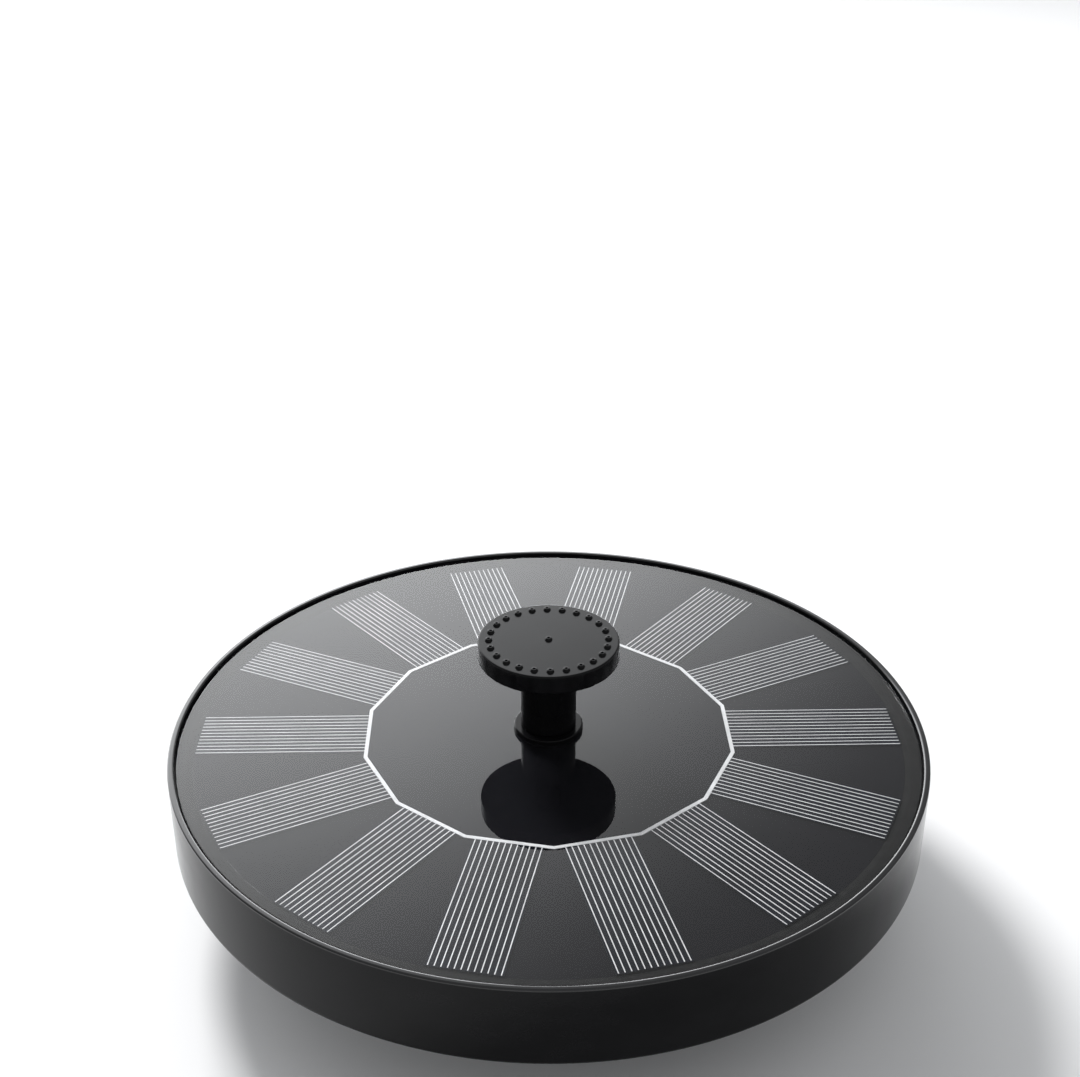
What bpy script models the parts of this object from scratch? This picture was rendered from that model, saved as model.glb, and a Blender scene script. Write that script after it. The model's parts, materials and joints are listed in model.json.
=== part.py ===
"""A solar fountain pump: a round floating solar panel with a spray nozzle above it and a pump below it."""

import math

import bmesh
import bpy
from mathutils import Matrix, Vector

MM = 0.001

# Driving dimensions, in metres. Z is 0 on the floor that the strainer stands on.
GAP = 0.3 * MM
FLOAT_RADIUS = 80.0 * MM
FLOAT_BOTTOM = 22.0 * MM
RIM_HEIGHT = 39.2 * MM
FLOAT_WALL = 1.8 * MM
LIP_WIDTH = 1.3 * MM
LEDGE_WIDTH = 3.3 * MM

GLASS_TOP = RIM_HEIGHT - 0.8 * MM
GLASS_THICKNESS = 2.2 * MM
GLASS_BOTTOM = GLASS_TOP - GLASS_THICKNESS
GLASS_RADIUS = FLOAT_RADIUS - LIP_WIDTH - GAP
LEDGE_TOP = GLASS_BOTTOM - 0.5 * MM
LEDGE_RADIUS = FLOAT_RADIUS - LIP_WIDTH - LEDGE_WIDTH

BOARD_TOP = GLASS_BOTTOM - 0.6 * MM
BOARD_BOTTOM = BOARD_TOP - 1.0 * MM
BOARD_RADIUS = LEDGE_RADIUS - 0.4 * MM
CELL_COUNT = 14
CELL_THICKNESS = 0.35 * MM
CELL_BOTTOM = BOARD_TOP + 0.1 * MM
CELL_WIDTH = 14.2 * MM
CELL_OUTER_REACH = 74.6 * MM
BUS_CORNER_RADIUS = 39.55 * MM
BUS_WIDTH = 0.8 * MM
HALF_SECTOR = math.pi / CELL_COUNT

BAY_RADIUS = 31.0 * MM
BAY_ROOF = 31.2 * MM
BAY_ROOF_TOP = BAY_ROOF + 1.2 * MM
NECK_RADIUS = 6.5 * MM

PLATE_BOTTOM = 12.0 * MM
PLATE_TOP = 14.0 * MM
PLATE_RADIUS = 27.5 * MM
BOSS_CIRCLE = 24.5 * MM
BOSS_RADIUS = 2.8 * MM
BOSS_ANGLES = [math.radians(15 + 90 * turn) for turn in range(4)]

MOTOR_RADIUS = 14.9 * MM
MOTOR_WALL = 1.3 * MM
MOTOR_TOP = 21.6 * MM
CAN_RADIUS = 7.3 * MM
CAN_WALL = 0.9 * MM
CAN_CEILING = 20.2 * MM
STATOR_MIDDLE = 17.7 * MM
STATOR_HEIGHT = 4.2 * MM
POLE_WIDTH = 4.0 * MM

SHAFT_RADIUS = 1.0 * MM
SHAFT_BOTTOM = 5.8 * MM
SHAFT_TOP = 20.9 * MM
RUNNING_CLEARANCE = 0.05 * MM
HUB_RADIUS = 2.6 * MM
IMPELLER_RADIUS = 10.6 * MM
IMPELLER_BOTTOM = 7.3 * MM
IMPELLER_TOP = 11.6 * MM
ROTOR_TOP = 19.7 * MM
VANE_COUNT = 6

COVER_BOTTOM = 4.9 * MM
COVER_FLOOR = 6.4 * MM
COVER_TOP = PLATE_BOTTOM - GAP
COVER_WALL = 1.5 * MM
CHAMBER_RADIUS = 12.4 * MM
OUTLET_BORE = 2.7 * MM
OUTLET_X = CHAMBER_RADIUS - OUTLET_BORE - 0.05 * MM
OUTLET_Y = 18.0 * MM
EAR_CIRCLE = 16.2 * MM
EAR_ANGLES = [math.radians(angle) for angle in (120, 210, 330)]

DUCT_RADIUS = 3.9 * MM
DUCT_BOTTOM = 15.3 * MM
DUCT_LEVEL = 27.1 * MM
DUCT_BEND = 4.4 * MM
DUCT_TOP = 33.0 * MM

FLANGE_RADIUS = 7.37 * MM
FLANGE_TOP = 39.6 * MM
SOCKET_RADIUS = 6.2 * MM
SOCKET_BORE = 4.95 * MM
SOCKET_STOP = 33.7 * MM
SPIGOT_RADIUS = 4.8 * MM
TUBE_RADIUS = 5.87 * MM
CAP_RADIUS = 14.82 * MM
CAP_TOP = RIM_HEIGHT + 20.88 * MM
CAP_BOTTOM = CAP_TOP - 4.02 * MM
JET_COUNT = 24
JET_CIRCLE = 12.5 * MM

STRAINER_RADIUS = 34.0 * MM
STRAINER_WALL = 1.8 * MM
SHOULDER_HEIGHT = FLOAT_BOTTOM - GAP
SLOT_COUNT = 36
SLOT_WIDTH = 2.4 * MM
SLOT_BOTTOM = 3.6 * MM
SLOT_TOP = 18.4 * MM

CONTROL_BOARD_CENTRE = Vector((50.0 * MM, 0, 27.5 * MM))
CONTROL_BOARD_SIZE = Vector((24.0 * MM, 28.0 * MM, 1.4 * MM))
CONTROL_BOARD_TOP = CONTROL_BOARD_CENTRE.z + CONTROL_BOARD_SIZE.z / 2
CONTROL_SCREWS = [(41.0 * MM, 11.0 * MM), (59.0 * MM, -11.0 * MM)]
GROMMET_X = 19.0 * MM
GROMMET_Y = -11.0 * MM
LEAD_RADIUS = 0.5 * MM
LEAD_OFFSET = 0.9 * MM
LEAD_HOLE = 0.8 * MM
LEAD_HOLE_X = 9.5 * MM
LEAD_HOLE_Y = -5.5 * MM

LARGE_STEPS = 56
MIDDLE_STEPS = 32
SMALL_STEPS = 24
TINY_STEPS = 12
MERGE = 1e-6


def clear_scene():
    for old in list(bpy.data.objects):
        bpy.data.objects.remove(old, do_unlink=True)


def add_collection(name):
    collection = bpy.data.collections.new(name)
    bpy.context.scene.collection.children.link(collection)
    return collection


def add_material(name, colour, roughness, metallic=0.0):
    material = bpy.data.materials.new(name)
    material.use_nodes = True
    shader = material.node_tree.nodes["Principled BSDF"]
    shader.inputs["Base Color"].default_value = (*colour, 1.0)
    shader.inputs["Roughness"].default_value = roughness
    shader.inputs["Metallic"].default_value = metallic
    return material


def add_object(name, mesh, material=None):
    """Puts a mesh in the parts' collection, or in the cutters' collection when it has no material."""
    made = bpy.data.objects.new(name, mesh)
    if material is None:
        cutters.objects.link(made)
        made.hide_render = True
        made.display_type = "WIRE"
    else:
        parts.objects.link(made)
        mesh.materials.append(material)
    return made


def mesh_from(name, shape):
    mesh = bpy.data.meshes.new(name)
    shape.to_mesh(mesh)
    shape.free()
    return mesh


def softened(profile):
    """Replaces each (radius, height, rounding) corner with three points on its rounded edge."""
    smooth = []
    for index, corner in enumerate(profile):
        here = Vector(corner[:2])
        if len(corner) == 2:
            smooth.append(here)
            continue
        before = Vector(profile[index - 1][:2])
        after = Vector(profile[(index + 1) % len(profile)][:2])
        start = here + (before - here).normalized() * corner[2]
        end = here + (after - here).normalized() * corner[2]
        smooth += [start, (start + end) / 4 + here / 2, end]
    return smooth


def add_turned(name, profile, material, steps=SMALL_STEPS):
    """Turns a profile about Z. It runs clockwise, and is a loop unless both of its ends are on the axis."""
    shape = bmesh.new()
    points = [shape.verts.new((point.x, 0, point.y)) for point in softened(profile)]
    for start, end in zip(points, points[1:]):
        shape.edges.new((start, end))
    if profile[0][0] > 0:
        shape.edges.new((points[-1], points[0]))
    made = add_object(name, mesh_from(name, shape), material)
    screw = made.modifiers.new("Turn", "SCREW")
    screw.steps = steps
    screw.render_steps = steps
    screw.use_merge_vertices = True
    screw.merge_threshold = MERGE
    screw.use_smooth_shade = True
    return made


def add_cylinder(name, radius, low, high, material=None, at=(0, 0), steps=TINY_STEPS, top_radius=None):
    shape = bmesh.new()
    bmesh.ops.create_cone(
        shape,
        cap_ends=True,
        segments=steps,
        radius1=radius,
        radius2=radius if top_radius is None else top_radius,
        depth=high - low,
    )
    made = add_object(name, mesh_from(name, shape), material)
    made.location = (at[0], at[1], (low + high) / 2)
    return made


def add_box(name, low, high, material=None, turn=0.0):
    """A box between two corners, then turned about Z."""
    low = Vector(low)
    high = Vector(high)
    shape = bmesh.new()
    bmesh.ops.create_cube(shape, size=1.0)
    bmesh.ops.scale(shape, vec=high - low, verts=shape.verts)
    bmesh.ops.translate(shape, vec=(low + high) / 2, verts=shape.verts)
    made = add_object(name, mesh_from(name, shape), material)
    made.rotation_euler.z = turn
    return made


def solid_from(name, curve):
    """The closed mesh of a curve."""
    path = bpy.data.objects.new(name + "_path", curve)
    cutters.objects.link(path)
    graph = bpy.context.evaluated_depsgraph_get()
    mesh = bpy.data.meshes.new_from_object(path.evaluated_get(graph))
    bpy.data.objects.remove(path)
    mesh.name = name
    mesh.materials.clear()
    shape = bmesh.new()
    shape.from_mesh(mesh)
    bmesh.ops.remove_doubles(shape, verts=shape.verts, dist=MERGE)
    shape.to_mesh(mesh)
    shape.free()
    return mesh


def add_rod(name, points, radius, material=None, resolution=2):
    """A round rod along straight stretches between the points."""
    curve = bpy.data.curves.new(name, "CURVE")
    curve.dimensions = "3D"
    curve.bevel_depth = radius
    curve.bevel_resolution = resolution
    curve.use_fill_caps = True
    spline = curve.splines.new("POLY")
    spline.points.add(len(points) - 1)
    for point, place in zip(spline.points, points):
        point.co = (*place, 1.0)
    return add_object(name, solid_from(name, curve), material)


def add_plate(name, outline, low, high, material=None):
    """A flat plate with this outline of (x, y) points, between two heights."""
    curve = bpy.data.curves.new(name, "CURVE")
    curve.dimensions = "2D"
    curve.fill_mode = "BOTH"
    curve.extrude = (high - low) / 2
    spline = curve.splines.new("POLY")
    spline.points.add(len(outline) - 1)
    for point, place in zip(spline.points, outline):
        point.co = (*place, 0, 1.0)
    spline.use_cyclic_u = True
    made = add_object(name, solid_from(name, curve), material)
    made.location.z = (low + high) / 2
    return made


def joined_copies(name, source, placements):
    """One cutter or tool that holds a copy of the source mesh at each placement."""
    shape = bmesh.new()
    for placement in placements:
        fresh = bmesh.new()
        fresh.from_mesh(source.data)
        bmesh.ops.transform(fresh, matrix=placement, verts=fresh.verts)
        copy = mesh_from(name + "_copy", fresh)
        shape.from_mesh(copy)
        bpy.data.meshes.remove(copy)
    bpy.data.objects.remove(source)
    return add_object(name, mesh_from(name, shape))


def around_circle(radius, height, angles):
    """Placements that stand at each angle of a circle about Z, and face outwards."""
    reach = Matrix.Translation((radius, 0, height))
    return [Matrix.Rotation(angle, 4, "Z") @ reach for angle in angles]


def even_angles(count, start=0.0):
    return [start + index * math.tau / count for index in range(count)]


def combine(target, tool, operation):
    boolean = target.modifiers.new(operation.title(), "BOOLEAN")
    boolean.operation = operation
    boolean.object = tool
    boolean.solver = "EXACT"


def cut(target, tool):
    combine(target, tool, "DIFFERENCE")


def fuse(target, tool):
    combine(target, tool, "UNION")


def round_edges(target, width, segments=2, angle=40):
    bevel = target.modifiers.new("Rounded edges", "BEVEL")
    bevel.width = width
    bevel.segments = segments
    bevel.limit_method = "ANGLE"
    bevel.angle_limit = math.radians(angle)


def cylinder_tool(name, radius, low, high, places):
    """One tool that holds an upright cylinder at each (x, y) place."""
    source = add_cylinder(name + "_source", radius, low, high)
    middle = (low + high) / 2
    return joined_copies(name, source, [Matrix.Translation((x, y, middle)) for x, y in places])


def on_circle(radius, angles):
    return [(radius * math.cos(angle), radius * math.sin(angle)) for angle in angles]


def make_float_shell(look):
    profile = [
        (FLOAT_RADIUS, RIM_HEIGHT, 0.4 * MM),
        (FLOAT_RADIUS, FLOAT_BOTTOM, 0.8 * MM),
        (BAY_RADIUS, FLOAT_BOTTOM),
        (BAY_RADIUS, BAY_ROOF),
        (NECK_RADIUS, BAY_ROOF),
        (NECK_RADIUS, BAY_ROOF_TOP),
        (BAY_RADIUS + FLOAT_WALL, BAY_ROOF_TOP),
        (BAY_RADIUS + FLOAT_WALL, FLOAT_BOTTOM + FLOAT_WALL),
        (FLOAT_RADIUS - FLOAT_WALL, FLOAT_BOTTOM + FLOAT_WALL),
        (FLOAT_RADIUS - FLOAT_WALL, LEDGE_TOP - 3.2 * MM),
        (LEDGE_RADIUS, LEDGE_TOP - 1.4 * MM),
        (LEDGE_RADIUS, LEDGE_TOP),
        (FLOAT_RADIUS - LIP_WIDTH, LEDGE_TOP),
        (FLOAT_RADIUS - LIP_WIDTH, RIM_HEIGHT),
    ]
    shell = add_turned("float_shell", profile, look, LARGE_STEPS)
    bosses = on_circle(BOSS_CIRCLE, BOSS_ANGLES)
    fuse(shell, cylinder_tool("boss_tool", BOSS_RADIUS, PLATE_TOP + GAP, BAY_ROOF + 0.8 * MM, bosses))
    cut(shell, cylinder_tool("pilot_tool", 1.25 * MM, PLATE_TOP - MM, 25.0 * MM, bosses))
    post_top = CONTROL_BOARD_CENTRE.z - CONTROL_BOARD_SIZE.z / 2 - GAP
    post_bottom = FLOAT_BOTTOM + FLOAT_WALL / 2
    fuse(shell, cylinder_tool("post_tool", 2.4 * MM, post_bottom, post_top, CONTROL_SCREWS))
    cut(shell, cylinder_tool("post_hole_tool", 1.0 * MM, 24.2 * MM, post_top + MM, CONTROL_SCREWS))
    grommet = [(GROMMET_X, GROMMET_Y)]
    cut(shell, cylinder_tool("grommet_hole_tool", 2.6 * MM, BAY_ROOF - MM, BAY_ROOF_TOP + MM, grommet))


def make_glass_cover(look):
    profile = [
        (GLASS_RADIUS, GLASS_TOP, 0.35 * MM),
        (GLASS_RADIUS, GLASS_BOTTOM),
        (NECK_RADIUS, GLASS_BOTTOM),
        (NECK_RADIUS, GLASS_TOP),
    ]
    add_turned("glass_cover", profile, look, LARGE_STEPS)


def make_glass_seal(look):
    inner = LEDGE_RADIUS + 0.3 * MM
    outer = GLASS_RADIUS - 0.3 * MM
    low = LEDGE_TOP + 0.1 * MM
    high = GLASS_BOTTOM - 0.1 * MM
    add_turned("glass_seal", [(outer, high), (outer, low), (inner, low), (inner, high)], look, LARGE_STEPS)


def make_panel_board(look):
    profile = [
        (BOARD_RADIUS, BOARD_TOP),
        (BOARD_RADIUS, BOARD_BOTTOM),
        (NECK_RADIUS, BOARD_BOTTOM),
        (NECK_RADIUS, BOARD_TOP),
    ]
    add_turned("panel_board", profile, look, LARGE_STEPS)


def make_bus_ring(look):
    """The conductor is a ribbon with one straight side to each cell."""
    half_width = BUS_WIDTH / 2 / math.cos(HALF_SECTOR)
    high = CELL_BOTTOM + CELL_THICKNESS
    profile = [
        (BUS_CORNER_RADIUS + half_width, high),
        (BUS_CORNER_RADIUS + half_width, CELL_BOTTOM),
        (BUS_CORNER_RADIUS - half_width, CELL_BOTTOM),
        (BUS_CORNER_RADIUS - half_width, high),
    ]
    ring = add_turned("bus_ring", profile, look, CELL_COUNT)
    ring.modifiers["Turn"].use_smooth_shade = False
    ring.rotation_euler.z = -math.pi / 2


def make_solar_cells(look):
    start = BUS_CORNER_RADIUS * math.cos(HALF_SECTOR) + BUS_WIDTH / 2 + 0.15 * MM
    low = (start, -CELL_WIDTH / 2, CELL_BOTTOM)
    high = (CELL_OUTER_REACH, CELL_WIDTH / 2, CELL_BOTTOM + CELL_THICKNESS)
    for index, angle in enumerate(even_angles(CELL_COUNT, HALF_SECTOR - math.pi / 2)):
        add_box(f"solar_cell_{index + 1:02d}", low, high, look, angle)


def make_control_board(look):
    half = CONTROL_BOARD_SIZE / 2
    board = add_box("control_board", CONTROL_BOARD_CENTRE - half, CONTROL_BOARD_CENTRE + half, look)
    cut(board, cylinder_tool("control_hole_tool", 1.3 * MM, 24.0 * MM, 30.0 * MM, CONTROL_SCREWS))


def make_board_pieces(chip_look, can_look):
    base = CONTROL_BOARD_TOP + 0.1 * MM
    low = Vector((46.0 * MM, -3.0 * MM, base))
    chip = add_box("driver_chip", low, low + Vector((6.0, 5.0, 1.5)) * MM, chip_look)
    round_edges(chip, 0.15 * MM, 1)
    can = add_cylinder("capacitor", 2.5 * MM, base, base + 5.0 * MM, can_look, (54.0 * MM, 6.0 * MM), 16)
    round_edges(can, 0.3 * MM, 1)


def add_screw(name, place, head_face, reach, sizes, look):
    """A pan-head screw. Its shank runs from head_face, where the head bears, up or down to reach."""
    head_radius, head_height, shank_radius = sizes
    length = abs(reach - head_face)
    head_end = -length - head_height
    profile = [
        (0, 0),
        (shank_radius * 0.6, 0),
        (shank_radius, -0.5 * MM),
        (shank_radius, -length),
        (head_radius, -length),
        (head_radius, -length - head_height * 0.4),
        (head_radius * 0.75, head_end),
        (0, head_end),
    ]
    screw = add_turned(name, profile, look, TINY_STEPS)
    screw.location = (place[0], place[1], reach)
    if reach < head_face:
        screw.rotation_euler.x = math.pi
    slot_low = (-head_radius * 0.6, -0.25 * MM, head_end - MM)
    slot_high = (head_radius * 0.6, 0.25 * MM, head_end + head_height * 0.5)
    slot = add_box(name + "_slot", slot_low, slot_high)
    slot.parent = screw
    cut(screw, slot)


def make_screws(look):
    for index, place in enumerate(on_circle(BOSS_CIRCLE, BOSS_ANGLES)):
        sizes = (2.3 * MM, 1.5 * MM, 1.1 * MM)
        add_screw(f"pump_screw_{index + 1}", place, PLATE_BOTTOM - 0.1 * MM, 24.0 * MM, sizes, look)
    for index, place in enumerate(on_circle(EAR_CIRCLE, EAR_ANGLES)):
        sizes = (1.8 * MM, 1.2 * MM, 0.8 * MM)
        add_screw(f"cover_screw_{index + 1}", place, 9.6 * MM, 15.6 * MM, sizes, look)
    for index, place in enumerate(CONTROL_SCREWS):
        sizes = (1.8 * MM, 1.2 * MM, 0.8 * MM)
        head_face = CONTROL_BOARD_TOP + 0.1 * MM
        add_screw(f"board_screw_{index + 1}", place, head_face, 24.8 * MM, sizes, look)


def make_leads(red, black):
    """The panel's two leads reach the control board, and the motor's two go through the grommet."""
    top = CONTROL_BOARD_TOP + GAP
    ceiling = BOARD_BOTTOM - GAP
    for name, side, look in (("panel_lead_1", 1, red), ("panel_lead_2", -1, black)):
        y = -7.0 * MM + side * 1.2 * MM
        path = [(55.0 * MM, y, top), (55.0 * MM, y, 30.0 * MM), (56.0 * MM, y, 31.2 * MM)]
        path += [(58.5 * MM, y, 32.0 * MM), (59.5 * MM, y, 33.0 * MM), (59.5 * MM, y, ceiling)]
        add_rod(name, path, LEAD_RADIUS, look)
    run = BOARD_BOTTOM - 0.7 * MM
    for name, side, look in (("motor_lead_1", 1, red), ("motor_lead_2", -1, black)):
        shift = side * LEAD_OFFSET
        y = GROMMET_Y + shift
        x = GROMMET_X
        path = [(42.0 * MM, y, top), (42.0 * MM, y, 30.0 * MM), (40.5 * MM, y, 32.2 * MM)]
        path += [(37.5 * MM, y, run), (x + 1.1 * MM, y, run), (x + 0.3 * MM, y, run - 0.3 * MM)]
        path += [(x, y, run - 0.85 * MM), (x, y, 29.6 * MM), (x - 1.4 * MM, y + 1.0 * MM, 26.8 * MM)]
        path += [(LEAD_HOLE_X + 2.6 * MM, LEAD_HOLE_Y - 1.5 * MM + shift, 25.2 * MM)]
        path += [(LEAD_HOLE_X + 0.5 * MM, LEAD_HOLE_Y - 0.2 * MM + shift, 24.8 * MM)]
        path += [(LEAD_HOLE_X, LEAD_HOLE_Y + shift, 24.0 * MM), (LEAD_HOLE_X, LEAD_HOLE_Y + shift, 21.4 * MM)]
        add_rod(name, path, LEAD_RADIUS, look)


def make_lead_grommet(look):
    body = 2.4 * MM
    flange = 3.6 * MM
    upper = BAY_ROOF_TOP + 0.1 * MM
    lower = BAY_ROOF - 0.1 * MM
    profile = [
        (0, upper + 0.5 * MM),
        (flange, upper + 0.5 * MM),
        (flange, upper),
        (body, upper),
        (body, lower),
        (flange, lower),
        (flange, lower - 0.8 * MM),
        (0, lower - 0.8 * MM),
    ]
    grommet = add_turned("lead_grommet", profile, look, 16)
    grommet.location = (GROMMET_X, GROMMET_Y, 0)
    holes = [(GROMMET_X, GROMMET_Y + side * LEAD_OFFSET) for side in (1, -1)]
    cut(grommet, cylinder_tool("grommet_bore_tool", 0.65 * MM, 29.0 * MM, 35.0 * MM, holes))


def make_motor_housing(look):
    """The mounting plate, the stator's cup and the can that keeps the rotor's water out of it are one piece."""
    can_outer = CAN_RADIUS + CAN_WALL
    cup_inner = MOTOR_RADIUS - MOTOR_WALL
    profile = [
        (0, MOTOR_TOP),
        (can_outer, MOTOR_TOP),
        (can_outer, PLATE_TOP),
        (cup_inner, PLATE_TOP),
        (cup_inner, MOTOR_TOP),
        (MOTOR_RADIUS, MOTOR_TOP),
        (MOTOR_RADIUS, PLATE_TOP),
        (PLATE_RADIUS, PLATE_TOP),
        (PLATE_RADIUS, PLATE_BOTTOM),
        (CAN_RADIUS, PLATE_BOTTOM),
        (CAN_RADIUS, CAN_CEILING),
        (2.5 * MM, CAN_CEILING),
        (2.5 * MM, 21.0 * MM),
        (0, 21.0 * MM),
    ]
    housing = add_turned("motor_housing", profile, look, MIDDLE_STEPS)
    outlet = (OUTLET_X, OUTLET_Y)
    ears = on_circle(EAR_CIRCLE, EAR_ANGLES)
    fuse(housing, cylinder_tool("ear_boss_tool", 2.3 * MM, 13.0 * MM, 17.0 * MM, ears))
    fuse(housing, add_cylinder("collar_tool", 5.2 * MM, 13.0 * MM, 17.2 * MM, at=outlet, steps=SMALL_STEPS))
    cut(housing, add_cylinder("collar_bore_tool", 4.2 * MM, PLATE_TOP, 20.0 * MM, at=outlet, steps=SMALL_STEPS))
    cut(housing, add_cylinder("outlet_tool", OUTLET_BORE, 10.0 * MM, 15.0 * MM, at=outlet, steps=24))
    cut(housing, cylinder_tool("ear_hole_tool", 0.95 * MM, 11.0 * MM, 16.0 * MM, ears))
    screws = on_circle(BOSS_CIRCLE, BOSS_ANGLES)
    cut(housing, cylinder_tool("plate_hole_tool", 1.4 * MM, 11.0 * MM, 15.0 * MM, screws))


def make_motor_cap(look):
    low = MOTOR_TOP + 0.2 * MM
    high = low + 1.2 * MM
    cup_inner = MOTOR_RADIUS - MOTOR_WALL
    profile = [
        (0, high),
        (MOTOR_RADIUS, high),
        (MOTOR_RADIUS, low),
        (cup_inner - 0.2 * MM, low),
        (cup_inner - 0.2 * MM, low - 0.7 * MM),
        (cup_inner - 1.1 * MM, low - 0.7 * MM),
        (cup_inner - 1.1 * MM, low),
        (0, low),
    ]
    cap = add_turned("motor_cap", profile, look, MIDDLE_STEPS)
    holes = [(LEAD_HOLE_X, LEAD_HOLE_Y + side * LEAD_OFFSET) for side in (1, -1)]
    cut(cap, cylinder_tool("lead_hole_tool", LEAD_HOLE, 20.0 * MM, 25.0 * MM, holes))


def make_stator(steel, copper):
    low = STATOR_MIDDLE - STATOR_HEIGHT / 2
    high = STATOR_MIDDLE + STATOR_HEIGHT / 2
    outer = MOTOR_RADIUS - MOTOR_WALL - GAP
    inner = outer - 1.7 * MM
    ring = [(outer, high), (outer, low), (inner, low), (inner, high)]
    core = add_turned("stator_core", ring, steel, MIDDLE_STEPS)
    half = POLE_WIDTH / 2
    reach = inner + 0.8 * MM
    face = CAN_RADIUS + CAN_WALL + GAP
    angles = even_angles(4, math.pi / 4)
    source = add_box("pole_source", (-reach, -half, low), (-face, half, high))
    fuse(core, joined_copies("pole_tool", source, [Matrix.Rotation(angle, 4, "Z") for angle in angles]))
    for index, angle in enumerate(angles):
        coil_low = (face + 0.4 * MM, -half - 1.2 * MM, low - 1.2 * MM)
        coil_high = (inner - 0.7 * MM, half + 1.2 * MM, high + 1.2 * MM)
        coil = add_box(f"stator_coil_{index + 1}", coil_low, coil_high, copper, angle)
        window_low = (face, -half - 0.15 * MM, low - 0.15 * MM)
        window_high = (inner, half + 0.15 * MM, high + 0.15 * MM)
        cut(coil, add_box(f"coil_window_{index + 1}", window_low, window_high, turn=angle))
        round_edges(coil, 0.35 * MM, 1)


def make_shaft_and_bushings(steel, ceramic):
    add_cylinder("rotor_shaft", SHAFT_RADIUS, SHAFT_BOTTOM, SHAFT_TOP, steel, steps=24)
    inner = SHAFT_RADIUS + RUNNING_CLEARANCE
    for name, low, high in (("bushing_lower", 5.7, 7.0), ("bushing_upper", 20.0, 20.95)):
        ring = [(2.4 * MM, high * MM), (2.4 * MM, low * MM), (inner, low * MM), (inner, high * MM)]
        add_turned(name, ring, ceramic, 24)


def make_impeller(look):
    bore = SHAFT_RADIUS + RUNNING_CLEARANCE
    shroud_bottom = IMPELLER_TOP - 1.0 * MM
    profile = [
        (HUB_RADIUS, ROTOR_TOP),
        (HUB_RADIUS, IMPELLER_TOP),
        (IMPELLER_RADIUS, IMPELLER_TOP),
        (IMPELLER_RADIUS, shroud_bottom),
        (HUB_RADIUS + 0.4 * MM, shroud_bottom),
        (HUB_RADIUS - 0.2 * MM, IMPELLER_BOTTOM),
        (bore, IMPELLER_BOTTOM),
        (bore, ROTOR_TOP),
    ]
    impeller = add_turned("impeller", profile, look, 24)
    low = (1.8 * MM, -0.5 * MM, IMPELLER_BOTTOM + 0.05 * MM)
    high = (IMPELLER_RADIUS - 0.2 * MM, 0.5 * MM, IMPELLER_TOP - 0.5 * MM)
    vane = add_box("vane_source", low, high)
    turns = [Matrix.Rotation(angle, 4, "Z") for angle in even_angles(VANE_COUNT)]
    fuse(impeller, joined_copies("vane_tool", vane, turns))


def make_rotor_magnet(look):
    outer = CAN_RADIUS - 0.8 * MM
    inner = HUB_RADIUS + 0.15 * MM
    high = ROTOR_TOP - 0.1 * MM
    low = IMPELLER_TOP + GAP
    profile = [(outer, high), (outer, low), (inner, low), (inner, high)]
    add_turned("rotor_magnet", profile, look, SMALL_STEPS)


def volute_outline(wall):
    """The chamber's circle with its side channel, which ends round the outlet, grown by a wall."""
    chamber = CHAMBER_RADIUS + wall
    lobe = OUTLET_BORE + wall
    inner_x = OUTLET_X - lobe
    first = math.acos(inner_x / chamber)
    around = [first + step / 30 * (math.tau - first) for step in range(31)]
    over = [step / 12 * math.pi for step in range(13)]
    outline = [(chamber * math.cos(angle), chamber * math.sin(angle)) for angle in around]
    outline += [(OUTLET_X + lobe * math.cos(angle), OUTLET_Y + lobe * math.sin(angle)) for angle in over]
    return outline


def make_impeller_cover(look):
    """A cup with the intake in its floor, whose side channel leads the water to the outlet."""
    cover = add_plate("impeller_cover", volute_outline(COVER_WALL), COVER_BOTTOM, COVER_TOP, look)
    ears = on_circle(EAR_CIRCLE, EAR_ANGLES)
    fuse(cover, cylinder_tool("ear_tool", 2.9 * MM, COVER_TOP - 1.9 * MM, COVER_TOP - 0.1 * MM, ears))
    cut(cover, add_plate("chamber_tool", volute_outline(0), COVER_FLOOR, PLATE_BOTTOM + MM))
    cut(cover, cylinder_tool("ear_bore_tool", 1.0 * MM, 8.0 * MM, 13.0 * MM, ears))
    add_intake(cover)


def add_intake(cover):
    """Opens the intake, and bridges it with the boss and spokes that hold the lower bushing."""
    cut(cover, add_cylinder("intake_tool", 5.8 * MM, 4.0 * MM, 7.5 * MM, steps=SMALL_STEPS))
    spoke = add_box("spoke_source", (1.0 * MM, -0.6 * MM, COVER_BOTTOM), (6.4 * MM, 0.6 * MM, 6.2 * MM))
    turns = [Matrix.Rotation(angle, 4, "Z") for angle in even_angles(3, math.pi / 2)]
    fuse(cover, add_cylinder("bushing_boss_tool", 3.2 * MM, COVER_BOTTOM + 0.05 * MM, 7.0 * MM, steps=24))
    fuse(cover, joined_copies("spoke_tool", spoke, turns))
    cut(cover, add_cylinder("bushing_seat_tool", 2.5 * MM, 5.6 * MM, 8.0 * MM, steps=24))


def bend(corner, start_way, end_way, radius, count):
    """Points on the arc that turns from one level or upright way to the other at a corner."""
    points = []
    for index in range(count + 1):
        angle = index / count * math.pi / 2
        back = start_way * (1 - math.sin(angle))
        ahead = end_way * (1 - math.cos(angle))
        points.append(corner + (ahead - back) * radius)
    return points


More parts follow.
